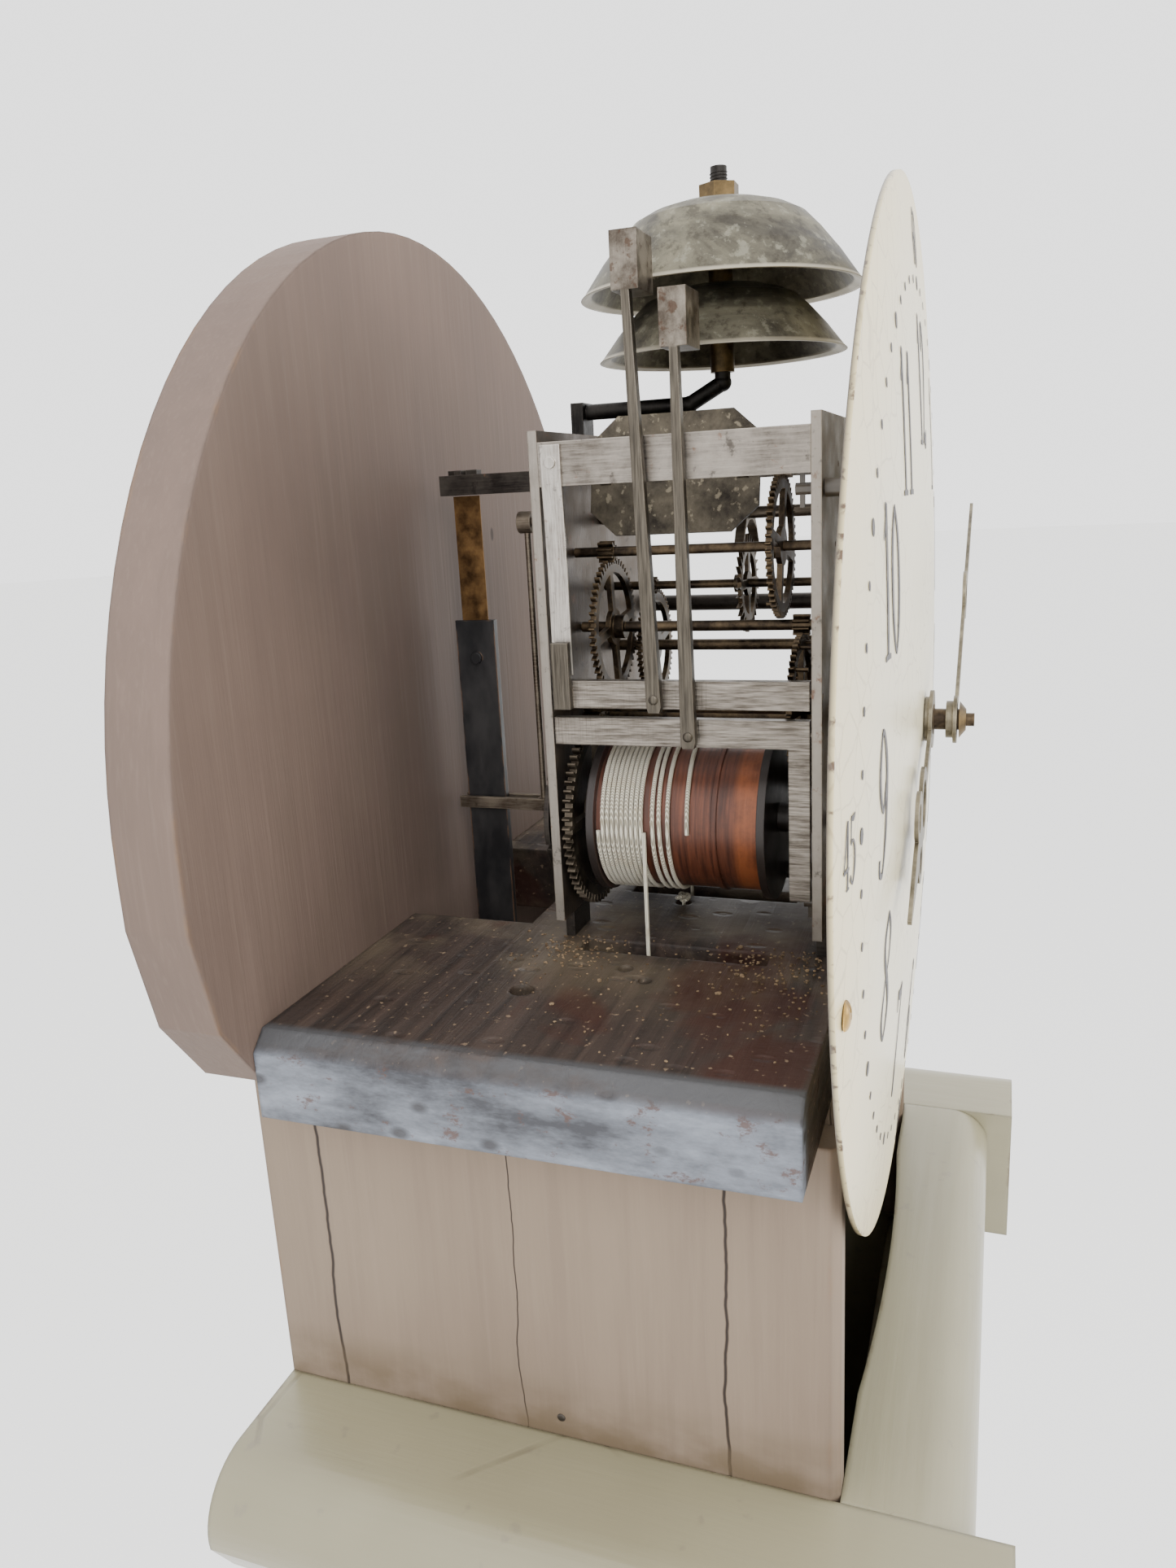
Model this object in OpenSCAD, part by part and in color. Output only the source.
// Longcase clock, hood lifted off: pine case, iron and brass two-train movement,
// painted iron dial, two bells, seconds pendulum, two cord-hung weights.
// Millimetres. +Z up, -Y is the front with the dial, origin on the floor under the case.

/* [Case] */
// Height of the dial centre above the floor
dial_height = 1700; // [1600:10:1900]
// Width of the neck, outside
neck_w = 264; // [250:2:330]
// Thickness of the case side boards
side_t = 14; // [10:1:20]
// Thickness of the backboard
back_t = 24; // [16:1:30]
// Half width of the backboard head
head_r = 183; // [170:1:230]
// Widest half width of the trunk
belly_r = 215; // [195:1:260]
// Height of the plinth
plinth_h = 150; // [100:5:220]
// Thickness of the trunk front and its door
front_t = 16; // [12:1:22]
// How far the door opening stays inside the trunk outline
stile_w = 44; // [36:1:60]
// Gap round the door
door_gap = 1.5; // [0.8:0.1:3]
// Thickness of the seat board
seat_t = 30; // [20:1:36]
// Width of the seat board
seat_w = 322; // [290:1:350]

/* [Collar] */
// Width of the collar rails and of the front board
rail_w = 58; // [40:1:70]
// Height of the collar rails
rail_h = 72; // [50:1:90]
// Depth of the collar front board
collar_front_d = 43; // [30:1:60]

/* [Dial] */
// Radius of the dial
dial_r = 188; // [170:1:215]
// How far the dial bulges forward at its centre
dial_rise = 9; // [3:0.5:10]
// Thickness of the dial sheet
dial_t = 1.6; // [1:0.1:3]
// Length of the minute hand
minute_len = 152; // [120:1:165]
// Length of the hour hand
hour_len = 108; // [90:1:120]

/* [Movement] */
// Half width of the movement plates
plate_hw = 65; // [64:0.5:80]
// Top of the plates above the dial centre
plate_top = 112; // [108:1:130]
// Bottom of the plates below the dial centre
plate_bot = 68; // [62:1:72]
// Thickness of the plates
plate_t = 3.5; // [2.5:0.1:5]
// Clear space between the plates
plate_gap = 94; // [94:1:110]
// Sideways distance of each barrel from the middle
barrel_x = 33; // [33:0.5:36]
// Diameter of the barrel drums, without cord
drum_d = 56; // [44:1:58]
// Diameter of the cord
cord_d = 1.7; // [1.2:0.1:2.4]
// Radial play of every pivot in its hole
pivot_play = 0.08; // [0.04:0.01:0.15]
// Diameter of the larger bell
bell_big_d = 104; // [80:1:108]
// Diameter of the smaller bell
bell_small_d = 92; // [70:1:96]

/* [Pendulum and weights] */
// Length of the pendulum from its bend to the middle of the bob
pendulum_len = 980; // [900:5:1010]
// Diameter of the pendulum bob
bob_d = 180; // [140:2:210]
// Diameter of the weights
weight_d = 56; // [46:1:58]
// Height of the weights
weight_h = 190; // [140:5:240]
// Diameter of the weight pulleys at the cord
pulley_d = 50; // [44:1:52]

/* [Hidden] */
ZC = dial_height;
YD = -(24 + plate_gap + 76 + back_t + 5 - collar_front_d - 12) / 2;   // dial plane, set so that the case stands centred
YF = YD + 24;                   // front plate, inner face
YB = YF + plate_gap;            // back plate, inner face
YW = YB + 76;                   // backboard, front face
neck_r = neck_w / 2;
seat_z = ZC - 78;               // seat board, top
plate_z0 = ZC - plate_bot;
collar_z = ZC - 240;            // collar, top
neck_y0 = YD + 5;               // neck, front edge
trunk_z1 = collar_z - rail_h;   // trunk, top
trunk_y0 = YD - 4;              // trunk front, outer face
fit = 0.3;                      // gap between case parts that only rest on each other
e = 0.01;

// trunk outline: half width at height z, round belly over a slim foot
belly_z = plinth_h + (trunk_z1 - plinth_h) * 335 / 619;   // widest point of the belly
foot_z = plinth_h + (belly_z - plinth_h) * 15 / 67;     // slimmest point over the plinth
foot_r = belly_r - 52;
top_r = neck_r + 18;
function smooth(t) = (1 - cos(180 * t)) / 2;
function half(z) = z >= belly_z
    ? belly_r + (top_r - belly_r) * smooth((z - belly_z) / (trunk_z1 - belly_z))
    : z >= foot_z ? foot_r + (belly_r - foot_r) * smooth((z - foot_z) / (belly_z - foot_z))
    : foot_r + 14 * smooth((foot_z - z) / (foot_z - plinth_h));
function levels(a, b, n) = [for (i = [0:n]) a + (b - a) * i / n];
function edge_up(a, b, n, off, s) = [for (z = levels(a, b, n)) [s * (half(z) - off), z]];

// ---- helpers ---------------------------------------------------------------
// a flat shape drawn in x and z, filling y0 to y0 + t
module slab(y0, t) translate([0, y0 + t, 0]) rotate([90, 0, 0]) linear_extrude(t) children();
// a round bar along y
module bar_y(x, z, y0, y1, d, n = 32) translate([x, y0, z]) rotate([-90, 0, 0]) cylinder(h = y1 - y0, d = d, $fn = n);
// a round cone along y
module cone_y(x, z, y0, y1, d0, d1, n = 32) translate([x, y0, z]) rotate([-90, 0, 0]) cylinder(h = y1 - y0, d1 = d0, d2 = d1, $fn = n);
// pivot holes take the pivot and its play
function hole(d) = d + 2 * pivot_play;

// one wheel tooth and its gap, m = module, N = teeth; wheels have full teeth, pinions slim leaves
function pol(r, a) = [r * sin(a), r * cos(a)];
function wheel_pts(N, m) = let (r = N * m / 2, p = 360 / N, w = 1.5 * m / r * 90 / PI)
    [for (i = [0:N - 1]) let (c = i * p) each [
        pol(r - 1.6 * m, c - w), pol(r, c - w), pol(r + 0.6 * m, c - 0.72 * w), pol(r + 1.15 * m, c - 0.28 * w),
        pol(r + 1.15 * m, c + 0.28 * w), pol(r + 0.6 * m, c + 0.72 * w), pol(r, c + w), pol(r - 1.6 * m, c + w)]];
function leaf_pts(N, m) = let (r = N * m / 2, p = 360 / N, w = 1.0 * m / r * 90 / PI)
    [for (i = [0:N - 1]) let (c = i * p) each [
        pol(r - 1.7 * m, c - w * 1.05), pol(r, c - w), pol(r + 0.32 * m, c - 0.72 * w), pol(r + 0.5 * m, c - 0.3 * w),
        pol(r + 0.5 * m, c + 0.3 * w), pol(r + 0.32 * m, c + 0.72 * w), pol(r, c + w), pol(r - 1.7 * m, c + w * 1.05)]];
// a crossed-out wheel with n spokes, turned so that a tooth points along a
module wheel2d(N, m, a, spokes = 4, hub = 7, rim = 3.2) rotate(-a) difference() {
    polygon(wheel_pts(N, m));
    for (i = [0:spokes - 1]) rotate(360 / spokes * i + 45) crossing(N * m / 2 - 1.6 * m - rim, hub, 360 / spokes);
}
// one opening between two spokes
module crossing(r1, r0, span) {
    g = 1.7;
    polygon(concat(
        [for (i = [0:8]) let (k = asin(g / r1), a = -span / 2 + k + (span - 2 * k) * i / 8) [r1 * cos(a), r1 * sin(a)]],
        [for (i = [0:4]) let (k = asin(g / r0), a = span / 2 - k - (span - 2 * k) * i / 4) [r0 * cos(a), r0 * sin(a)]]));
}
module pinion2d(N, m, a) rotate(-a) polygon(leaf_pts(N, m));
// place a train piece at an arbor
module at(p) translate([p[0], 0, ZC + p[1]]) children();
function dir(p, q) = atan2(q[0] - p[0], q[1] - p[1]);
function step_to(p, d, a) = [p[0] + d * sin(a), p[1] + d * cos(a)];

// ---- trains: teeth, modules and arbor places, seen from the front ----------
bz = -32;
B1 = [barrel_x, bz];                       // going barrel
G2 = [0, 0];                               // centre arbor
m1 = 2 * norm(B1) / 92;                    // 84 into 8
m2 = 0.8;                                  // 64 into 8
m3 = 0.75;                                 // 60 into 8
esc_r = 19;
d23 = 36 * m2;
d34 = 34 * m3;
G4 = [0, 53];                              // escape arbor
g3z = (d23 * d23 - d34 * d34 + 53 * 53) / 106;
G3 = [sqrt(d23 * d23 - g3z * g3z), g3z];   // third arbor
P = [0, G4[1] + esc_r * sqrt(2)];          // pallet arbor
S1 = [-barrel_x, bz];                      // strike barrel
ms1 = 72 / 65;                             // 65 into 10
S2 = [-31.5, bz + sqrt(pow(37.5 * ms1, 2) - pow(barrel_x - 31.5, 2))];
ms2 = 0.9;                                 // 60 into 8
S3 = [S2[0] + 2.5, S2[1] + sqrt(pow(34 * ms2, 2) - 2.5 * 2.5)];
ms3 = 0.9;                                 // 56 into 8
S4 = [S3[0] - 4, S3[1] + sqrt(pow(32 * ms3, 2) - 16)];
ms4 = 0.85;                                // 58 into 8
S5 = [S4[0] + 7, S4[1] + sqrt(pow(33 * ms4, 2) - 49)];
mm = 0.75;                                 // cannon 16 into 48
mw = [0, -32 * mm];                        // minute wheel stud
mh = 64 * mm / 70;                         // 14 into 56
H1 = [2 - plate_hw, 20];                   // large hammer arbor
H2 = [2 - plate_hw, 6.5];                  // small hammer arbor
piv = 2;                                   // common pivot diameter
cr = drum_d / 2 + cord_d / 2;              // cord line on a drum

// ---- case ------------------------------------------------------------------
head_z = ZC + 8;
head_base = ZC - 97;
function arc_pts(n) = [for (i = [0:n]) let (a = 180 * i / n) [head_r * cos(a), head_z - 26 + (head_r + 28) * sin(a)]];
head_cut = 26;                  // lower corners of the head are sawn off
module backboard() color([0.66, 0.62, 0.55]) slab(YW, back_t)
    polygon(concat(arc_pts(48), [[-head_r, head_base + 2.4 * head_cut], [-head_r + head_cut * 0.3, head_base + head_cut],
            [-head_r + head_cut, head_base], [-neck_r + side_t, head_base], [-neck_r + side_t, trunk_z1]],
        [for (i = [0:60]) let (z = trunk_z1 - (trunk_z1 - 20) * i / 60) [-half(max(z, plinth_h)) + side_t + fit, z]],
        [for (i = [60:-1:0]) let (z = trunk_z1 - (trunk_z1 - 20) * i / 60) [half(max(z, plinth_h)) - side_t - fit, z]],
        [[neck_r - side_t, trunk_z1], [neck_r - side_t, head_base], [head_r - head_cut, head_base],
            [head_r - head_cut * 0.3, head_base + head_cut], [head_r, head_base + 2.4 * head_cut]]));

// side board of the neck, two planks deep with an eased front edge
module neck_side(s) color([0.60, 0.57, 0.51]) translate([s < 0 ? -neck_r : neck_r - side_t, 0, 0])
    rotate([0, 0, 0]) linear_extrude_between(collar_z - 60, seat_z - seat_t)
        polygon([[0, neck_y0 + 3], [3, neck_y0], [side_t - 3, neck_y0], [side_t, neck_y0 + 3], [side_t, YW + back_t], [0, YW + back_t]]);
module linear_extrude_between(a, b) translate([0, 0, a]) linear_extrude(b - a) children();

// collar: bullnosed moulding of width w and height h, profile reaching out to -x
function rail_pts(w, h) = concat([[0, 0], [-w * 0.6, 0]],
    [for (i = [1:12]) let (a = 90 + 100 * i / 12) [-w * 0.6 + w * 0.4 * cos(a), -w * 0.4 + w * 0.4 * sin(a)]],
    [[-w * 0.82, -h * 0.62], [-w * 0.52, -h * 0.86], [-18, -h], [0, -h]]);
module collar_rail(s) color([0.62, 0.60, 0.50]) mirror([s > 0 ? 1 : 0, 0, 0]) translate([-neck_r - 0.2, 0, collar_z])
    slab(neck_y0 - collar_front_d - 12, YW + back_t - neck_y0 + collar_front_d + 12) polygon(rail_pts(rail_w, rail_h));
// collar front board between the rails, its back edge cut slightly hollow
module collar_front_board() color([0.70, 0.68, 0.57]) difference() {
    translate([neck_r, neck_y0 - 0.2, collar_z]) rotate([90, 0, -90]) linear_extrude(neck_w)
        polygon([for (q = rail_pts(collar_front_d, rail_h)) [-q[0], q[1]]]);
    translate([0, neck_y0 + 900 - 4, collar_z - rail_h - 1]) cylinder(h = rail_h + 2, r = 900, $fn = 180);
}
module trunk_sides() color([0.62, 0.60, 0.52]) for (s = [0, 1]) mirror([s, 0, 0])
    slab(trunk_y0 + front_t + e, YW + back_t - trunk_y0 - front_t - e)
        polygon(concat(edge_up(plinth_h + e, trunk_z1 - e, 56, 0, -1),
            [for (i = [56:-1:0]) let (z = plinth_h + e + (trunk_z1 - plinth_h - 2 * e) * i / 56) [-half(z) + side_t, z]]));
door_z0 = belly_z - (belly_z - foot_z) * 27 / 52;
door_z1 = belly_z + (trunk_z1 - belly_z) * 165 / 284;
module outline2d(z0, z1, off, n) polygon(concat(edge_up(z0, z1, n, off, -1),
    [for (i = [n:-1:0]) let (z = z0 + (z1 - z0) * i / n) [half(z) - off, z]]));
module trunk_front() color([0.64, 0.62, 0.53]) slab(trunk_y0, front_t) difference() {
    outline2d(plinth_h + e, trunk_z1 - e, 0, 56);
    outline2d(door_z0, door_z1, stile_w, 40);
}
hinge_x = belly_r - stile_w;
hinge_y = trunk_y0 - 4;
module trunk_door() color([0.67, 0.65, 0.56]) {
    difference() {
        slab(trunk_y0, front_t) outline2d(door_z0 + door_gap, door_z1 - door_gap, stile_w + door_gap, 40);
        bar_y(knob_x, knob_z, trunk_y0 - 6, trunk_y0 + front_t + 2, hole(6), 32);
    }
    // raised field
    slab(trunk_y0 - 4, 4) outline2d(door_z0 + 60, door_z1 - 60, stile_w + 44, 32);
}
hinge_zs = [belly_z - 55, belly_z + 55];
// fixed halves: leaf on the stile, outer knuckles and the pin
module door_hinges() color([0.25, 0.23, 0.2]) for (z = hinge_zs) {
    translate([hinge_x + 3.2, trunk_y0 - 1.6, z - 22]) cube([24, 1.6 - e, 44]);
    for (s = [-1, 1]) translate([hinge_x, hinge_y, z + s * 14.5 - 7.5]) {
        cylinder(h = 15, d = 6, $fn = 32);
        translate([0, 1.4, 0]) cube([4, 2.4, 15]);
    }
    translate([hinge_x, hinge_y, z - 22]) cylinder(h = 44, d = 3, $fn = 32);
}
// moving halves: leaf on the door and the middle knuckle
module door_hinge_leaves() color([0.25, 0.23, 0.2]) for (z = hinge_zs) difference() {
    union() {
        translate([hinge_x - 27, trunk_y0 - 1.6, z - 6.7]) cube([25.5, 1.6 - e, 13.4]);
        translate([hinge_x, hinge_y, z - 6.7]) cylinder(h = 13.4, d = 6, $fn = 32);
        translate([hinge_x - 4, hinge_y + 1.4, z - 6.7]) cube([4, 2.4, 13.4]);
    }
    translate([hinge_x, hinge_y, z - 8]) cylinder(h = 16, d = 3 + 2 * pivot_play, $fn = 32);
}
knob_x = -(belly_r - stile_w - 20);
knob_z = belly_z + 40;
// turning knob with a tongue behind the stile
module door_knob() color([0.72, 0.58, 0.3]) {
    cone_y(knob_x, knob_z, trunk_y0 - 22, trunk_y0 - 12, 20, 16, 48);
    bar_y(knob_x, knob_z, trunk_y0 - 12, trunk_y0 - 0.4, 12, 48);
    bar_y(knob_x, knob_z, trunk_y0 - 0.5, trunk_y0 + front_t + 4, 6, 32);
    translate([knob_x - 6, trunk_y0 + front_t + 0.5, knob_z - 6]) cube([12, 3, 36]);
}
plinth_r = foot_r + 34;
plinth_y0 = trunk_y0 - 20;
// plinth: a box frame with a moulded top and a bottom board let in
module plinth() color([0.58, 0.55, 0.47]) {
    plinth_frame();
    bottom_board();
}
module plinth_frame() difference() {
    union() {
        translate([-plinth_r, plinth_y0, 0]) cube([2 * plinth_r, YW + back_t - plinth_y0, plinth_h - 22]);
        for (k = [[0, 8], [8, 14]]) translate([-plinth_r - 8 + k[0], plinth_y0 - 8 + k[0], plinth_h - 22 + k[0] - e])
            cube([2 * (plinth_r + 8 - k[0]), YW + back_t - plinth_y0 + 8 - k[0], k[1]]);
    }
    translate([-plinth_r + 18, plinth_y0 + 18, -1]) cube([2 * plinth_r - 36, YW + back_t - plinth_y0, plinth_h - 21]);
    // the top ring reaches in under the trunk boards
    translate([-half(plinth_h) + side_t, trunk_y0 + front_t, plinth_h - 23])
        cube([2 * (half(plinth_h) - side_t), YW + back_t - trunk_y0, 40]);
}
module bottom_board() translate([-plinth_r + 17, plinth_y0 + 17, 2])
    cube([2 * plinth_r - 34, YW - fit - plinth_y0 - 17, 18 - e]);

// seat board: slots for the cords, a hole for each pulley hook, bevelled ends
going_a = barrel_x - cr;
strike_a = -barrel_x - cr;
fall_y = YF + 62;
going_b = going_a + pulley_d + cord_d;
strike_b = strike_a + pulley_d + cord_d;
seat_y0 = YD + 12;
module seat_board() color([0.27, 0.21, 0.17]) difference() {
    translate([-seat_w / 2, seat_y0, seat_z - seat_t]) cube([seat_w, YW - fit - seat_y0, seat_t]);
    for (s = [-1, 1]) translate([s * seat_w / 2, 0, seat_z]) rotate([0, 45, 0]) cube([9, 800, 9], center = true);
    // crutch and pendulum swing behind the movement
    translate([-46, YB + 22, seat_z - seat_t - 1]) cube([92, YW - YB + 4, seat_t + 2]);
    for (x = [going_a, strike_a]) translate([x - 6, YF + 16, seat_z - seat_t - 1]) cube([12, 72, seat_t + 2]);
    for (x = [going_b, strike_b]) translate([x, fall_y, seat_z - seat_t - 1]) cylinder(h = seat_t + 2, d = 7, $fn = 32);
    for (q = [[-107, YD + 119, 9], [-81, YD + 89, 6], [-90, YD + 79, 5]]) translate([q[0], q[1], seat_z - 12]) cylinder(h = 20, d = q[2], $fn = 24);
}

// ---- movement frame --------------------------------------------------------
pillar_at = [[-4.2, -62.5], [58, 40], [56, 100], [10, 104]];
holes_front = [[B1, 7], [S1, 7], [G3, piv], [G4, piv], [P, piv], [S2, piv], [S3, piv], [S4, piv], [S5, piv], [H1, piv], [H2, piv]];
module plate2d()
    polygon([[-plate_hw, -plate_bot], [plate_hw, -plate_bot], [plate_hw, plate_top], [-plate_hw, plate_top]]);
module drill(y0, list) for (h = list) bar_y(h[0][0], ZC + h[0][1], y0 - 1, y0 + plate_t + 1, hole(h[1]));
module front_plate() color([0.38, 0.33, 0.27]) difference() {
    slab(YF - plate_t, plate_t) translate([0, ZC]) plate2d();
    drill(YF - plate_t, holes_front);
    bar_y(0, ZC, YF - plate_t - 1, YF + 1, hole(5));
    for (p = pillar_at) bar_y(p[0], ZC + p[1], YF - plate_t - 1, YF + 1, 5);
    bar_y(mw[0], ZC + mw[1], YF - plate_t - 1, YF + 1, 3.5);
    for (p = foot_at) bar_y(p[0], ZC + p[1], YF - plate_t - 1, YF + 1, 4.4);
}
holes_back = [[B1, 5], [S1, 5], [G2, piv], [G3, piv], [G4, piv], [P, 4], [S2, piv], [S3, piv], [S4, piv], [S5, piv], [H1, piv], [H2, piv]];
module back_plate() color([0.36, 0.31, 0.26]) difference() {
    slab(YB, plate_t) translate([0, ZC]) plate2d();
    drill(YB, holes_back);
    for (p = pillar_at) bar_y(p[0], ZC + p[1], YB - 1, YB + plate_t + 1, 5);
}
// turned pillars with riveted ends, their feet and the stud of the minute wheel
module pillars() color([0.42, 0.38, 0.33]) {
    for (p = pillar_at) {
        bar_y(p[0], ZC + p[1], YF + e, YB - e, 7);
        for (y = [YF + e, YB - 4 - e]) bar_y(p[0], ZC + p[1], y, y + 4, 8);
        bar_y(p[0], ZC + p[1], YF - plate_t - 1.2, YF + 1, 4.98);
        bar_y(p[0], ZC + p[1], YB - 1, YB + plate_t + 1.2, 4.98);
    }
    // feet under the plates
    for (y = [YF - plate_t, YB]) for (x = [-46, 46]) translate([x - 9, y, seat_z + e]) cube([18, plate_t, plate_z0 - seat_z - 2 * e]);
    bar_y(mw[0], ZC + mw[1], YF - 18, YF, 3.48);
}
// straps between the plates along their side edges, worn bright
module strap_bar() color([0.6, 0.58, 0.54]) for (s = [-1, 1])
    translate([s > 0 ? plate_hw - 3.5 : -plate_hw, YF + e, ZC + 93]) cube([3.5, plate_gap - 2 * e, 15]);

// ---- going train -----------------------------------------------------------
d0 = YF + 17;                  // drum, front
d1 = YB - 10;                  // drum, back
module barrel(p, gy) {
    bar_y(p[0], ZC + p[1], d0, d1, drum_d, 96);
    for (y = [d0, d1 - 3]) bar_y(p[0], ZC + p[1], y, y + 3, drum_d + 6, 96);
    bar_y(p[0], ZC + p[1], d0 + 18, d0 + 20, drum_d + 1.2, 96);
    bar_y(p[0], ZC + p[1], YF + 1, YB - 1, 11, 48);
    bar_y(p[0], ZC + p[1], YF - plate_t - 1, YF + 2, 7);
    bar_y(p[0], ZC + p[1], YB - 2, YB + plate_t + 1, 5);
    // winding square behind the dial
    translate([p[0] - 2.4, YD + 3, ZC + p[1] - 2.4]) cube([4.8, YF - plate_t - YD - 3, 4.8]);
}
module going_barrel() color([0.45, 0.25, 0.17]) barrel(B1);
module strike_barrel() color([0.45, 0.25, 0.17]) {
    barrel(S1);
    strike_arbor_end();
}
// great wheel: its boss rides on the barrel arbor
module great(p, y, N, m, a) at(p) difference() {
    union() {
        slab(y, 3) wheel2d(N, m, a, 4, 13, 4);
        bar_y(0, 0, y - 0.8, y + 3.8, 22, 48);
    }
    bar_y(0, 0, y - 5, y + 9, 11.02, 48);
}
gw_y = YF + 3;
sw_y = YB - 6;
module going_great_wheel() color([0.72, 0.58, 0.32]) great(B1, gw_y, 84, m1, dir(B1, G2));
module strike_great_wheel() color([0.5, 0.42, 0.3]) great(S1, sw_y, 65, ms1, dir(S1, S2));
// cord lying on a drum: close turns behind, open turns in front
wind_n = 9;
open_n = 4;
module winding(p) at(p) {
    for (i = [0:wind_n - 1]) translate([0, d1 - 3.2 - cord_d * (i + 0.5) * 1.12, 0]) rotate([-90, 0, 0]) ring();
    for (i = [0:open_n - 1]) translate([0, d1 - 3.2 - cord_d * wind_n * 1.12 - 4.5 * (i + 1), 0]) rotate([-90, 0, 0]) ring();
}
module ring() rotate_extrude($fn = 72) translate([cr + 0.02, 0]) circle(d = cord_d, $fn = 16);
module going_winding() color([0.85, 0.8, 0.68]) winding(B1);
module strike_winding() color([0.85, 0.8, 0.68]) winding(S1);

// an arbor with its pivots in both plates
module arbor(d, y0 = YF, y1 = YB) {
    bar_y(0, 0, y0 + 0.4, y1 - 0.4, d, 32);
    bar_y(0, 0, y0 - plate_t + 0.4, y0 + 0.5, piv, 24);
    bar_y(0, 0, y1 - 0.5, y1 + plate_t - 0.4, piv, 24);
}
module collet(y, d = 9) bar_y(0, 0, y, y + 4, d, 32);
module centre_wheel() color([0.7, 0.57, 0.33]) at(G2) {
    bar_y(0, 0, YF - 1, YB - 0.4, 5, 32);
    bar_y(0, 0, YB - 0.5, YB + plate_t - 0.4, piv, 24);
    slab(YF + 1, 7) pinion2d(8, m1, dir(G2, B1) + 22.5);
    slab(YF + 12, 2) wheel2d(64, m2, dir(G2, G3));
    collet(YF + 14);
    // front end that carries the hands
    bar_y(0, 0, YD - 27, YF, 5, 32);
}
module third_wheel() color([0.7, 0.57, 0.33]) at(G3) {
    arbor(4.4);
    slab(YF + 9, 7) pinion2d(8, m2, dir(G3, G2) + 22.5);
    slab(YF + 74, 2) wheel2d(60, m3, dir(G3, G4));
    collet(YF + 76);
}
// thirty raked teeth
module escape2d() difference() {
    polygon([for (i = [0:29]) let (c = i * 12) each [pol(esc_r - 4.2, c), pol(esc_r, c + 5.4), pol(esc_r, c + 6), pol(esc_r - 4.2, c + 4.8)]]);
    for (i = [0:3]) rotate(90 * i + 45) crossing(esc_r - 7, 5, 90);
}
esc_y = YF + 34;
module escape_wheel() color([0.72, 0.58, 0.34]) at(G4) {
    arbor(3.4);
    slab(YF + 71.5, 7) pinion2d(8, m3, dir(G4, G3) + 22.5);
    slab(esc_y, 1.6) escape2d();
    collet(esc_y + 1.6, 7);
}
// anchor: its two pallets stand just outside the tooth circle
module anchor2d() {
    k = P[1] - G4[1];
    difference() {
        polygon([[-15.6, 0.5 - k + 13.6], [-12, -6.5], [-5, 1.5], [0, 3.4], [5, 1.5], [12, -6.5], [15.6, 0.5 - k + 13.6],
            [13.4, 0.9 - k + 15.2], [9.6, -6], [3, -2.6], [-3, -2.6], [-9.6, -6], [-13.4, 0.9 - k + 15.2]]);
        translate([0, -k]) circle(r = esc_r + 0.7, $fn = 120);
    }
}
module pallets() color([0.5, 0.48, 0.45]) at(P) {
    bar_y(0, 0, YF + 0.4, YB - 0.4, 4.6, 32);
    bar_y(0, 0, YF - plate_t + 0.4, YF + 0.5, piv, 24);
    bar_y(0, 0, YB - 0.5, YB + plate_t + 30, 4, 32);
    slab(esc_y - 1, 3.6) anchor2d();
}
crutch_y = YB + plate_t + 28;
fork_z = -40;
rod_y = YB + 59;
// crutch: wire from the pallet arbor down to a two-pronged fork round the rod
module crutch() color([0.35, 0.33, 0.3]) {
    at(P) difference() {
        bar_y(0, 0, crutch_y - 2, crutch_y + 4, 9, 32);
        bar_y(0, 0, crutch_y - 3, crutch_y + 5, 4.02, 32);
    }
    translate([0, crutch_y + 1, ZC + fork_z]) cylinder(h = P[1] - fork_z - 4.2, d = 2.6, $fn = 24);
    translate([-4.6, crutch_y - 1, ZC + fork_z - 2.5]) cube([9.2, 4, 5]);
    for (s = [-1, 1]) translate([s * 3.6 - 1, crutch_y + 2, ZC + fork_z - 2.5]) cube([2, rod_y + 10 - crutch_y, 5]);
}
cock_z = 92;
// cock: iron bar from the back plate with a split end and cheeks for the spring
module pendulum_cock() color([0.2, 0.19, 0.18]) {
    for (s = [-1, 1]) translate([s * 5.2 - 3, YB + plate_t + e, ZC + cock_z]) cube([6, rod_y + 8 - YB - plate_t, 8]);
    translate([-8.2, YB + plate_t + e, ZC + cock_z]) cube([16.4, 12, 8]);
    translate([-8.2, YB + plate_t + e, ZC + cock_z - 8]) cube([16.4, 3, 16]);
    // brass block let into the split, with its cross pin
    translate([-2.4, rod_y - 6.5, ZC + cock_z]) cube([4.8, 13, 10]);
    translate([-7, rod_y - 1.5, ZC + cock_z + 7.9]) cube([14, 3, 2]);
}
// spring strip: bends at the underside of the cock
module suspension_spring() color([0.55, 0.42, 0.25])
    translate([-0.25, rod_y - 6, ZC + 30]) cube([0.5, 12, cock_z - 30 - 0.4]);
bend_z = cock_z - 1;
bob_z = ZC + bend_z - pendulum_len;
module pendulum_rod() color([0.08, 0.08, 0.085]) difference() {
    union() {
        translate([-1.6, rod_y - 9, bob_z - bob_d / 2]) cube([3.2, 18, ZC + 40 - bob_z + bob_d / 2]);
        bar_x(rod_y, ZC + 24, 6.4, 5);
        translate([0, rod_y, bob_z - bob_d / 2 - 60]) cylinder(h = 62, d = 5, $fn = 32);
    }
    translate([-0.3, rod_y - 6.3, ZC + 29]) cube([0.6, 12.6, 20]);
}
module bar_x(y, z, l, d) translate([-l / 2, y, z]) rotate([0, 90, 0]) cylinder(h = l, d = d, $fn = 24);
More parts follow.
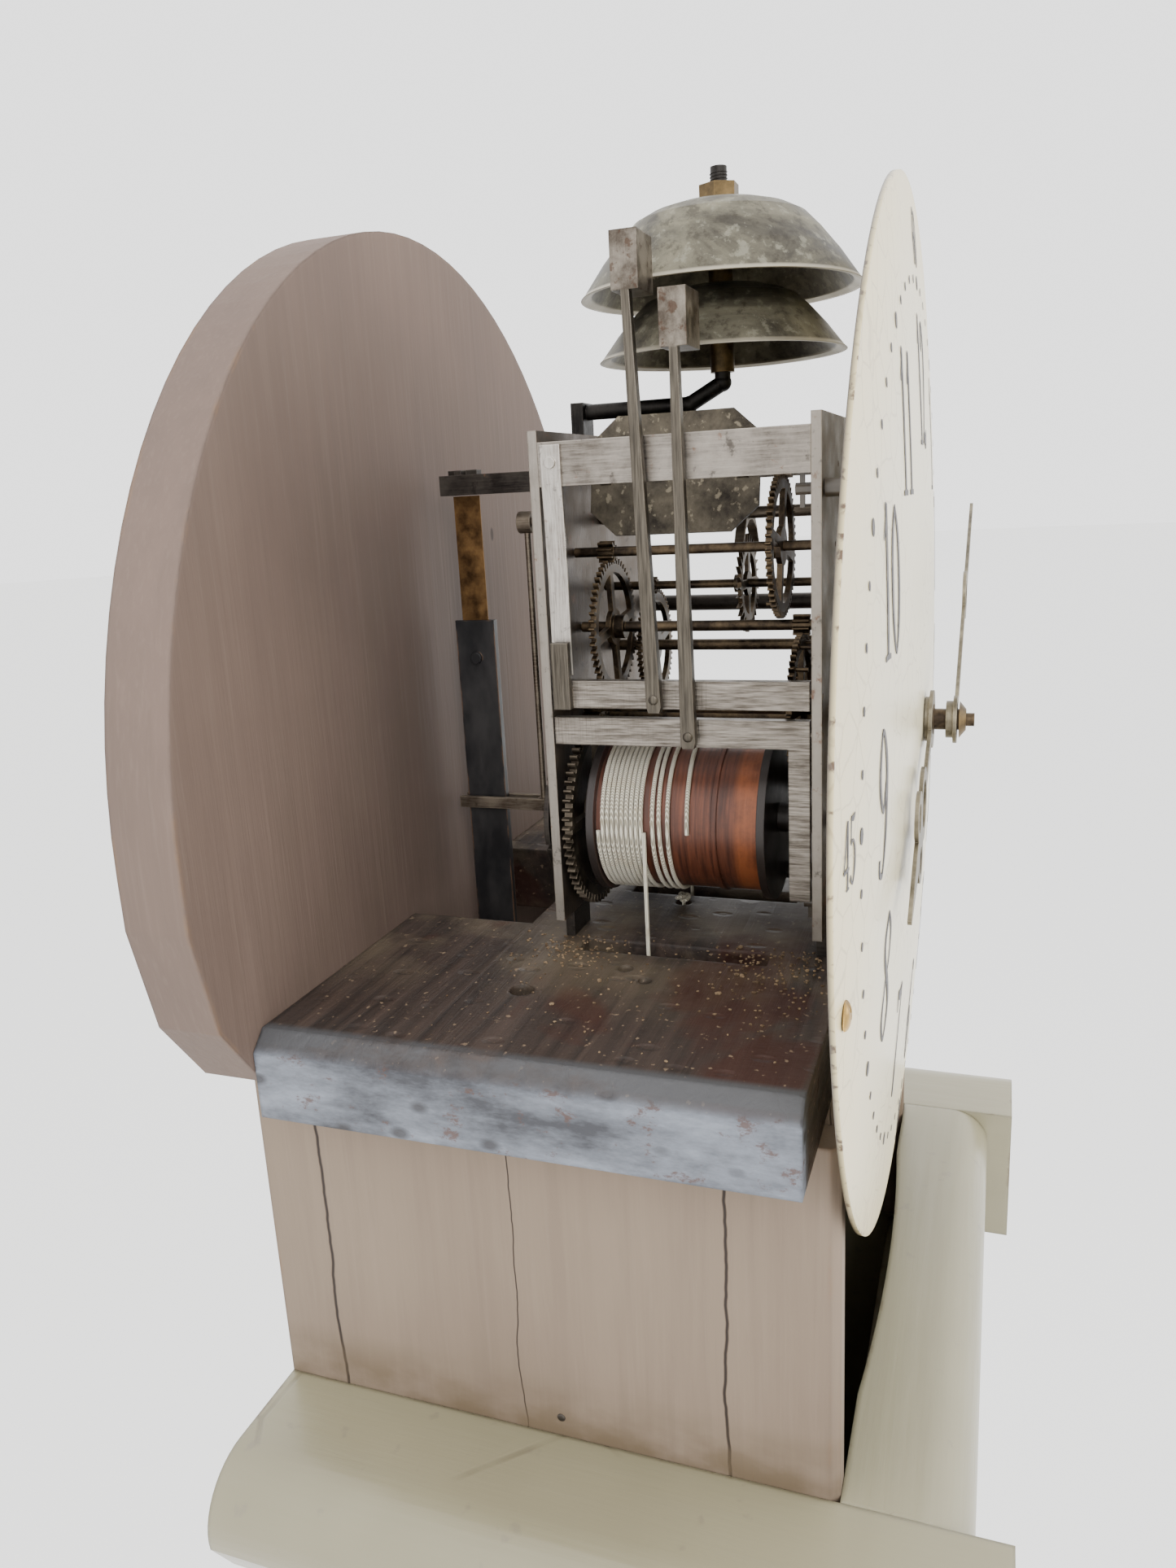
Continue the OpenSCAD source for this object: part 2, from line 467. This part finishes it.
// bob: a lens of cast metal with a slot for the rod
module pendulum_bob() color([0.66, 0.55, 0.33]) difference() {
    translate([0, rod_y, bob_z]) rotate([90, 0, 0]) rotate_extrude($fn = 96)
        polygon([for (i = [0:12]) let (a = -90 + 15 * i) [max(0, bob_d / 2 * cos(a) * (1 - 0.0)), 13.5 * sin(a)]]);
    translate([-1.75, rod_y - 9.2, bob_z - bob_d]) cube([3.5, 18.4, 2 * bob_d]);
    translate([0, rod_y, bob_z - bob_d / 2 - 5]) cylinder(h = 9, d = 5.4, $fn = 32);
}
module rating_nut() color([0.7, 0.58, 0.34]) translate([0, rod_y, bob_z - bob_d / 2 - 14]) difference() {
    union() { cylinder(h = 6, d = 22, $fn = 48); cylinder(h = 13.5, d = 12, $fn = 48); }
    translate([0, 0, -1]) cylinder(h = 16, d = 5.05, $fn = 32);
}

// ---- strike train ----------------------------------------------------------
module pin_wheel() color([0.62, 0.5, 0.3]) at(S2) {
    arbor(4.4);
    slab(YB - 8, 7) pinion2d(10, ms1, dir(S2, S1) + 18);
    slab(YF + 8, 2) wheel2d(60, ms2, dir(S2, S3));
    collet(YF + 10);
    // twelve lifting pins
    for (i = [0:11]) rotate([0, 30 * i + 15, 0]) bar_y(0, 24.2, YF + 3.5, YF + 9, 1.6, 16);
}
module locking_wheel() color([0.62, 0.5, 0.3]) at(S3) {
    arbor(4);
    slab(YF + 6, 6) pinion2d(8, ms2, dir(S3, S2) + 22.5);
    slab(YF + 80, 2) wheel2d(56, ms3, dir(S3, S4));
    collet(YF + 76);
}
module warning_wheel() color([0.66, 0.53, 0.31]) at(S4) {
    arbor(3.6);
    slab(YF + 78, 6) pinion2d(8, ms3, dir(S4, S3) + 22.5);
    slab(YF + 14.5, 2) wheel2d(58, ms4, dir(S4, S5));
    collet(YF + 16.5);
    // warning pin on the rim
    bar_y(0, -20.5, YF + 15.5, YF + 21, 1.4, 16);
}
module fly_arbor() color([0.45, 0.4, 0.35]) at(S5) {
    arbor(3);
    slab(YF + 12.5, 6) pinion2d(8, ms4, dir(S5, S4) + 22.5);
}
fly_y0 = YF + 24;
fly_len = 64;
// fly: eight-cornered sheet with two collars, turning with friction on its arbor
module fly() color([0.5, 0.44, 0.32]) at(S5) {
    rotate([0, 12, 0]) difference() {
        translate([0.7, 0, 0]) rotate([90, 0, -90]) linear_extrude(1.4)
            polygon([[-fly_y0 - 10, -22], [-fly_y0, -13], [-fly_y0, 13], [-fly_y0 - 10, 22],
                [-fly_y0 - fly_len + 10, 22], [-fly_y0 - fly_len, 13], [-fly_y0 - fly_len, -13], [-fly_y0 - fly_len + 10, -22]]);
        bar_y(0, 0, fly_y0 - 1, fly_y0 + fly_len + 1, 3.1, 32);
    }
    for (y = [fly_y0 + 4, fly_y0 + fly_len - 8]) difference() {
        bar_y(0, 0, y, y + 4, 6.4, 32);
        bar_y(0, 0, y - 1, y + 5, 3 + 2 * pivot_play, 32);
    }
}
// count wheel on the end of the strike barrel arbor: eleven notches at 1, 2 ... 12 of 78
cw_y = YB + plate_t + 2;
function tri(k) = k * (k + 1) / 2;
module count_wheel() color([0.45, 0.37, 0.26]) at(S1) difference() {
    union() {
        slab(cw_y, 2) difference() {
            circle(r = 29, $fn = 96);
            for (k = [1:12]) rotate(-tri(k) * 360 / 78) translate([-1, 25]) square([2, 6]);
        }
        bar_y(0, 0, cw_y - 0.8, cw_y + 5, 12, 32);
    }
    bar_y(0, 0, cw_y - 3, cw_y + 8, hole(5), 32);
}
module strike_arbor_end() at(S1) bar_y(0, 0, YB + plate_t, cw_y + 6, 5);
// hammers: flat arbor bar between pivots, arm riveted outside it, head reaching in to the bell
arm_x = plate_hw + 1.5;
module bar_arbor(h) {
    translate([-2, YF + 0.6, -h / 2]) cube([4, plate_gap - 1.2, h]);
    bar_y(0, 0, YF - plate_t + 0.4, YF + 1, piv, 24);
    bar_y(0, 0, YB - 1, YB + plate_t - 0.4, piv, 24);
}
// arm and head, from height a up to height b above the arbor
module hammer_arm(y, w0, w1, a, b, lean) {
    x = -arm_x - H1[0];
    translate([x, 0, 0]) {
        translate([0, 0, a]) rotate([0, -90, 0]) linear_extrude(3.6)
            polygon([[0, y - w0], [2, y - w0 - 0.6], [b - a, y + lean - w1], [b - a, y + lean + w1], [2, y + w0 + 0.6], [0, y + w0]]);
        translate([-3.6, y + lean - 4.6, b - a + a - 0.1]) cube([17.2, 9.2, 18]);
    }
    translate([x - 1, y - 2, -2]) cube([3, 4, 4]);
}
module hammer_large() color([0.33, 0.28, 0.22]) at(H1) {
    bar_arbor(10);
    hammer_arm(YD + 78, 2, 1.4, -5.5, 133, 4.5);
    // finger that the pins lift
    translate([1.5, YF + 4, -1.4]) cube([5.6, 2.4, 2.8]);
    // upright over the counter spring
    translate([-2 - arm_x - H1[0], YB - 8.4, -5]) cube([2.6, 6.4, 24]);
    translate([-arm_x - H1[0] - 0.2, YB - 8.4, -5]) cube([2, 6.4, 8]);
}
module hammer_small() color([0.35, 0.3, 0.24]) at(H2) {
    bar_arbor(10);
    hammer_arm(YD + 66, 2, 1.4, -4.5, 128, 1);
    // tail that hangs down inside the front plate
    translate([-2, YF + 0.6, -60]) cube([3, 7.4, 61]);
}
// counter spring: blade riveted to the strap, bent in behind the upright
module hammer_spring() color([0.6, 0.57, 0.53]) translate([0, YB - 8.6, ZC]) {
    slab(0, 7.4) polygon([[-plate_hw - 0.02, 107], [-plate_hw - 1, 107], [-plate_hw - 1, 96], [-plate_hw - 0.2, 84],
        [-plate_hw + 0.4, 60], [-plate_hw + 0.2, 27], [-plate_hw + 0.9, 27], [-plate_hw + 1.1, 60], [-plate_hw + 0.6, 84], [-plate_hw - 0.02, 93]]);
    translate([-plate_hw - 0.9, 3.7, 101]) rotate([0, -90, 0]) cylinder(h = 1.2, d = 4, $fn = 24);
}

// ---- bells -----------------------------------------------------------------
bell_y = YD + 67;
stand_d = 6;
// bell stand: bent iron rod from the top of the back plate
module bell_stand() color([0.2, 0.18, 0.15]) {
    translate([0, bell_y, ZC + 128]) cylinder(h = 74, d = stand_d, $fn = 32);
    translate([0, bell_y, ZC + 128]) sphere(d = stand_d + 0.6, $fn = 32);
    translate([0, bell_y, ZC + 128]) rotate([-118, 0, 0]) cylinder(h = 15, d = stand_d, $fn = 32);
    translate([0, bell_y + 13.2, ZC + 121]) sphere(d = stand_d + 0.6, $fn = 32);
    translate([0, bell_y + 13.2, ZC + 121]) rotate([-90, 0, 0]) cylinder(h = YB + plate_t + 5 - bell_y - 13.2, d = stand_d, $fn = 32);
    translate([-6, YB + plate_t + e, ZC + 100]) cube([12, 5, 24.5]);
}
// bell: shallow flared cup of even wall, mouth down
bell_form = [[1, 0], [0.975, 0.045], [0.84, 0.36], [0.71, 0.62], [0.61, 0.79], [0.5, 0.885], [0.36, 0.955], [0.18, 0.99]];
big_bell_z = 159;               // mouths and heights of the bells, above the dial centre
big_bell_h = 31;
small_bell_z = 137;
small_bell_h = 25;
function bell_inside(h) = bell_form[7][1] * (h - 2.4) - 0.2;   // flat inside top
module bell(d, h, z) translate([0, bell_y, ZC + z]) difference() {
    rotate_extrude($fn = 96) polygon(concat([for (q = bell_form) [q[0] * d / 2, q[1] * h]], [[0, h], [0, bell_inside(h)]],
        [for (i = [7:-1:1]) [bell_form[i][0] * (d / 2 - 2.2) - 0.4, bell_form[i][1] * (h - 2.4) - 0.2]], [[d / 2 - 1.6, 0]]));
    cylinder(h = h + 5, d = stand_d + 0.04, $fn = 32);
}
module bell_big() color([0.45, 0.42, 0.3]) bell(bell_big_d, big_bell_h, big_bell_z);
module bell_small() color([0.42, 0.4, 0.31]) bell(bell_small_d, small_bell_h, small_bell_z);
module bell_nut() color([0.72, 0.6, 0.33]) {
    translate([0, bell_y, ZC + big_bell_z + big_bell_h + e]) difference() {
        cylinder(h = 6, d = 15, $fn = 6);
        translate([0, 0, -1]) cylinder(h = 9, d = stand_d + 0.04, $fn = 32);
    }
    // washer between the bells
    translate([0, bell_y, ZC + small_bell_z + small_bell_h + e]) difference() {
        cylinder(h = big_bell_z + bell_inside(big_bell_h) - small_bell_z - small_bell_h - 2 * e, d = 9, $fn = 32);
        translate([0, 0, -1]) cylinder(h = 40, d = stand_d + 0.04, $fn = 32);
    }
    translate([0, bell_y, ZC + 131.6]) difference() {
        cylinder(h = small_bell_z + bell_inside(small_bell_h) - 131.6 - e, d = 9, $fn = 32);
        translate([0, 0, -1]) cylinder(h = 40, d = stand_d + 0.04, $fn = 32);
    }
}

// ---- dial and hands --------------------------------------------------------
foot_at = [[-58, 88], [58, 88], [-44, -61], [58, 16]];
dial_R = (dial_r * dial_r + dial_rise * dial_rise) / (2 * dial_rise);
function dome(r) = sqrt(dial_R * dial_R - r * r) - (dial_R - dial_rise);
module dial() color([0.87, 0.82, 0.66]) difference() {
    union() {
        translate([0, YD, ZC]) rotate([90, 0, 0]) rotate_extrude($fn = 180) polygon(concat(
            [for (i = [0:10]) [dial_r * i / 10, dome(dial_r * i / 10)]],
            [for (i = [10:-1:0]) [dial_r * i / 10, dome(dial_r * i / 10) - dial_t]]));
        // riveted feet pinned behind the front plate
        for (p = foot_at) {
            bar_y(p[0], ZC + p[1], YD - dome(norm(p)) + dial_t / 2, YF - plate_t - 0.2, 6, 32);
            bar_y(p[0], ZC + p[1], YF - plate_t - 1, YF + 6, 4, 32);
            translate([p[0] - 0.8, YF + 3, ZC + p[1] - 6]) cube([1.6, 1.6, 12]);
        }
    }
    bar_y(0, ZC, YD - 30, YD + 10, 15, 48);
    for (x = [-barrel_x, barrel_x]) bar_y(x, ZC + bz, YD - 30, YD + 2.8, 12, 48);
}
// cannon pinion and its long pipe, friction-tight on the centre arbor
module cannon_pinion() color([0.55, 0.5, 0.42]) at(G2) difference() {
    union() {
        slab(YD + 15, 4) pinion2d(16, mm, dir(G2, mw));
        bar_y(0, 0, YD - 21.5, YD + 16, 8, 32);
    }
    bar_y(0, 0, YD - 40, YD + 30, 5.04, 32);
}
module minute_wheel() color([0.7, 0.58, 0.35]) at(mw) difference() {
    union() {
        slab(YD + 16, 2) rotate(-(dir(mw, G2) + 3.75)) polygon(wheel_pts(48, mm));
        slab(YD + 8.5, 7.6) rotate(-dir(mw, G2)) polygon(leaf_pts(14, mh));
    }
    bar_y(0, 0, YD, YD + 30, 3.48 + 2 * pivot_play, 32);
}
module hour_wheel() color([0.7, 0.58, 0.35]) at(G2) difference() {
    union() {
        slab(YD + 10.5, 2) rotate(-(dir(G2, mw) + 180 / 56)) polygon(wheel_pts(56, mh));
        bar_y(0, 0, YD - 12.5, YD + 12, 11.5, 48);
    }
    bar_y(0, 0, YD - 40, YD + 30, 8 + 2 * pivot_play, 32);
}
// pierced hour hand lying along +z before it is turned
hour_rest = 245;
minute_rest = 60;
module hour2d() difference() {
    union() {
        circle(r = 11, $fn = 48);
        polygon([[-3, 8], [3, 8], [2.6, 40], [-2.6, 40]]);
        translate([0, 50]) circle(r = 13, $fn = 48);
        translate([-9, 68]) circle(r = 9, $fn = 40);
        translate([9, 68]) circle(r = 9, $fn = 40);
        polygon([[-5, 60], [5, 60], [5.5, 82], [0.8, hour_len], [-0.8, hour_len], [-5.5, 82]]);
    }
    translate([0, 50]) circle(r = 8.6, $fn = 40);
    for (s = [-1, 1]) translate([s * 9.6, 69]) circle(r = 5, $fn = 32);
    circle(r = 5.76, $fn = 48);
}
module hour_hand() color([0.4, 0.34, 0.27]) at(G2) difference() {
    union() {
        slab(YD - 12.2, 1.4) rotate(-hour_rest) hour2d();
        bar_y(0, 0, YD - 12.2, YD - 9.2, 17, 48);
    }
    bar_y(0, 0, YD - 20, YD, 11.54, 48);
}
module minute2d() difference() {
    union() {
        circle(r = 9, $fn = 48);
        polygon([[-2.4, 7], [2.4, 7], [1.9, 72], [-1.9, 72]]);
        translate([0, 80]) circle(r = 10, $fn = 40);
        polygon([[-3.4, 86], [3.4, 86], [0.7, minute_len], [-0.7, minute_len]]);
    }
    translate([0, 80]) circle(r = 6.4, $fn = 40);
}
module minute_hand() color([0.4, 0.34, 0.27]) at(G2) difference() {
    union() {
        slab(YD - 20.8, 1.4) rotate(-minute_rest) minute2d();
        bar_y(0, 0, YD - 20.8, YD - 16.8, 14, 48);
    }
    bar_y(0, 0, YD - 30, YD, 8.04, 48);
}
// domed washer and cross pin in front of the minute hand
module hand_washer() color([0.72, 0.6, 0.35]) at(G2) {
    difference() {
        cone_y(0, 0, YD - 24, YD - 21.6, 8, 14, 48);
        bar_y(0, 0, YD - 40, YD - 10, 5.04, 32);
    }
}

// ---- weights ---------------------------------------------------------------
weight_top = ZC - 760;
pulley_z = weight_top + 66;
function px(a) = a + (pulley_d + cord_d) / 2;
// weight: cast cylinder with rounded shoulders, eye and stirrup
module weight(x) translate([x, fall_y, 0]) {
    translate([0, 0, weight_top - weight_h]) rotate_extrude($fn = 64) polygon([[0, 0], [weight_d / 2 - 4, 0], [weight_d / 2, 4], [weight_d / 2, weight_h - 10], [weight_d / 2 - 8, weight_h], [0, weight_h]]);
    translate([0, 0, weight_top - 1]) cylinder(h = 33, d = 6, $fn = 32);
    // stirrup cheeks and cross piece
    translate([-6, -8, weight_top + 30]) cube([12, 16, 4]);
    for (s = [-1, 1]) translate([-5, s * 7 - 1.2, weight_top + 30]) cube([10, 2.4, 42]);
    translate([0, -9, pulley_z]) rotate([-90, 0, 0]) cylinder(h = 18, d = 4, $fn = 32);
}
module going_weight() color([0.3, 0.29, 0.28]) weight(px(going_a));
module strike_weight() color([0.3, 0.29, 0.28]) weight(px(strike_a));
module pulley(x) translate([x, fall_y, pulley_z]) rotate([-90, 0, 0]) translate([0, 0, -4]) difference() {
    rotate_extrude($fn = 96) polygon([[0, 0], [pulley_d / 2 + 2, 0], [pulley_d / 2 + 2, 1.2], [pulley_d / 2 - 0.9, 4], [pulley_d / 2 + 2, 6.8], [pulley_d / 2 + 2, 8], [0, 8]]);
    translate([0, 0, -1]) cylinder(h = 10, d = 4 + 2 * pivot_play, $fn = 32);
    for (i = [0:4]) rotate(72 * i) translate([pulley_d * 0.3, 0, -1]) cylinder(h = 10, d = pulley_d * 0.17, $fn = 32);
}
module going_pulley() color([0.7, 0.58, 0.34]) pulley(px(going_a));
module strike_pulley() color([0.7, 0.58, 0.34]) pulley(px(strike_a));
// hanging cord: one fall from the barrel, one up to its knot in the seat board
module falls(p, a, b) {
    translate([a, fall_y, pulley_z]) cylinder(h = ZC + p[1] - pulley_z, d = cord_d, $fn = 16);
    translate([b, fall_y, pulley_z]) cylinder(h = seat_z - pulley_z - 4, d = cord_d, $fn = 16);
}
module going_cord() color([0.85, 0.8, 0.68]) falls(B1, going_a - 0.03, going_b);
module strike_cord() color([0.85, 0.8, 0.68]) falls(S1, strike_a - 0.03, strike_b);

backboard();
neck_side(-1);  // neck_side_left
neck_side(1);  // neck_side_right
collar_rail(-1);  // collar_rail_left
collar_rail(1);  // collar_rail_right
collar_front_board();
trunk_sides();
trunk_front();
trunk_door();
door_hinges();
door_hinge_leaves();
door_knob();
plinth();
seat_board();
front_plate();
back_plate();
pillars();
strap_bar();
going_barrel();
going_great_wheel();
going_winding();
centre_wheel();
third_wheel();
escape_wheel();
pallets();
crutch();
pendulum_cock();
suspension_spring();
pendulum_rod();
pendulum_bob();
rating_nut();
strike_barrel();
strike_great_wheel();
strike_winding();
pin_wheel();
locking_wheel();
warning_wheel();
fly_arbor();
fly();
count_wheel();
hammer_large();
hammer_small();
hammer_spring();
bell_stand();
bell_big();
bell_small();
bell_nut();
dial();
cannon_pinion();
minute_wheel();
hour_wheel();
hour_hand();
minute_hand();
hand_washer();
going_weight();
strike_weight();
going_pulley();
strike_pulley();
going_cord();
strike_cord();
